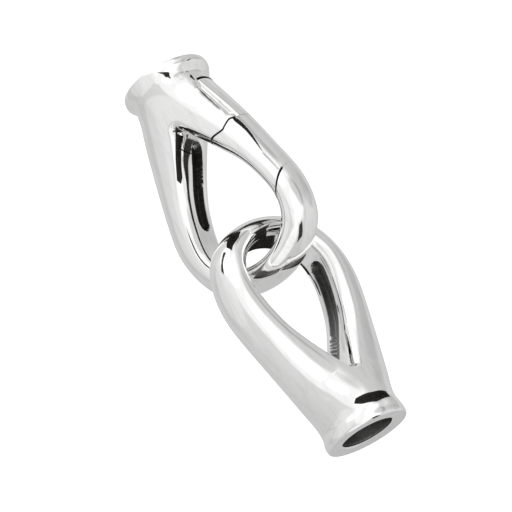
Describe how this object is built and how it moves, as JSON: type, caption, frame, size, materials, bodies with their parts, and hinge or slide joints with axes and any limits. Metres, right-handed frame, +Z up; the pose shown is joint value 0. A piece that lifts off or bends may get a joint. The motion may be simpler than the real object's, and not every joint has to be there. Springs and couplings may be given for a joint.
{
  "type": "push-button clasp",
  "caption": "Push-button clasp of polished white metal: two flared link halves, interlocked like chain links, with cord bores, a hinged gate and a rocking release button.",
  "frame": {"origin": "centre of the footprint on the floor, with the clasp laid out straight", "axes": "+Y along the clasp from the plain half to the half with the gate, +X to the gate's side, +Z up"},
  "size_m": [0.0154, 0.0466, 0.0122],
  "materials": {
    "polished_silver": "mirror polished, with small blurred spots where the casting was cleaned"
  },
  "bodies": {
    "links": {"gate_link": "polished_silver", "gate_pin": "polished_silver", "button_pin": "polished_silver", "loop_link": "polished_silver"},
    "gate": {"gate": "polished_silver"},
    "button": {"push_button": "polished_silver"}
  },
  "joints": [
    {"name": "gate_hinge", "type": "hinge", "parent": "links", "child": "gate", "pos_m": [0.00488, 0.00206, 0.0093], "axis": [-0.5299, 0.0516, 0.8465], "range_deg": [0, 26], "stiffness_Nm_per_rad": 0.004, "springref_deg": -28.65},
    {"name": "button_hinge", "type": "hinge", "parent": "links", "child": "button", "pos_m": [0.00432, 0.01401, 0.00822], "axis": [-0.5299, 0.0516, 0.8465], "range_deg": [0, 5], "stiffness_Nm_per_rad": 0.02, "springref_deg": -5.73}
  ]
}
